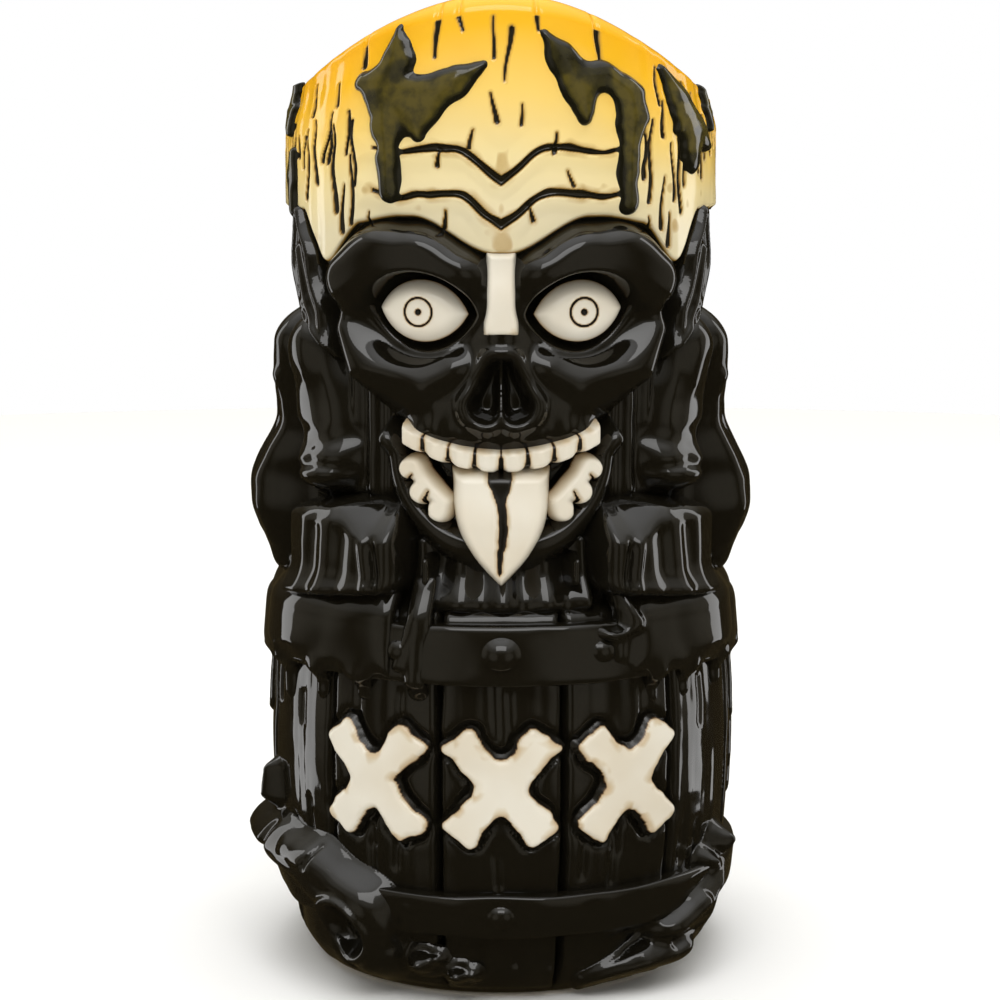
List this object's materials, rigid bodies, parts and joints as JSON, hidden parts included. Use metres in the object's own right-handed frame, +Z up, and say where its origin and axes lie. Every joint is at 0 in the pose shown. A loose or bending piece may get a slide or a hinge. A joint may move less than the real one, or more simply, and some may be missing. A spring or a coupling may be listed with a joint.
{
  "type": "tiki mug",
  "caption": "Ceramic tiki mug: a grinning skull-headed figure crouching in a staved barrel, hollow, with a wavy rim and a flat foot ring.",
  "frame": {"origin": "centre of the foot, on the plane it stands on", "axes": "+Z up along the mug's axis, the face looks along -Y, +X to the viewer's right"},
  "size_m": [0.096, 0.0952, 0.182],
  "materials": {
    "black_glaze": "very glossy black glaze",
    "cream_glaze": "glossy cream glaze, brown in the creases",
    "amber_glaze": "glossy glaze, amber at the rim and cream at the brow",
    "olive_glaze": "glossy dark olive glaze that has run"
  },
  "bodies": {
    "root": {"barrel_run_left": "black_glaze", "barrel_run_outer_left": "black_glaze", "barrel_run_right": "black_glaze", "brow_left": "black_glaze", "brow_right": "black_glaze", "claw_left": "black_glaze", "claw_right": "black_glaze", "cross_centre": "cream_glaze", "cross_left": "cream_glaze", "cross_right": "cream_glaze", "crown": "amber_glaze", "crown_run_left": "olive_glaze", "crown_run_right": "olive_glaze", "ear_left": "black_glaze", "ear_right": "black_glaze", "eye_left": "cream_glaze", "eye_right": "cream_glaze", "face": "black_glaze", "forearm_left": "black_glaze", "forearm_right": "black_glaze", "hand_left": "black_glaze", "hand_right": "black_glaze", "lower_hoop": "black_glaze", "lower_jaw": "black_glaze", "lower_rivet_back": "black_glaze", "lower_rivet_front": "black_glaze", "lower_teeth_left": "cream_glaze", "lower_teeth_right": "cream_glaze", "mouth_lining": "black_glaze", "neck": "black_glaze", "nose": "black_glaze", "nose_bridge": "cream_glaze", "stave_01": "black_glaze", "stave_02": "black_glaze", "stave_03": "black_glaze", "stave_04": "black_glaze", "stave_05": "black_glaze", "stave_06": "black_glaze", "stave_07": "black_glaze", "stave_08": "black_glaze", "stave_09": "black_glaze", "stave_10": "black_glaze", "stave_11": "black_glaze", "stave_12": "black_glaze", "thumb_left": "black_glaze", "thumb_right": "black_glaze", "tongue": "cream_glaze", "upper_arm_left": "black_glaze", "upper_arm_right": "black_glaze", "upper_hoop": "black_glaze", "upper_rivet_back": "black_glaze", "upper_rivet_front": "black_glaze", "upper_rivet_left": "black_glaze", "upper_rivet_right": "black_glaze", "upper_teeth": "cream_glaze", "vessel_body": "black_glaze"}
  },
  "joints": []
}
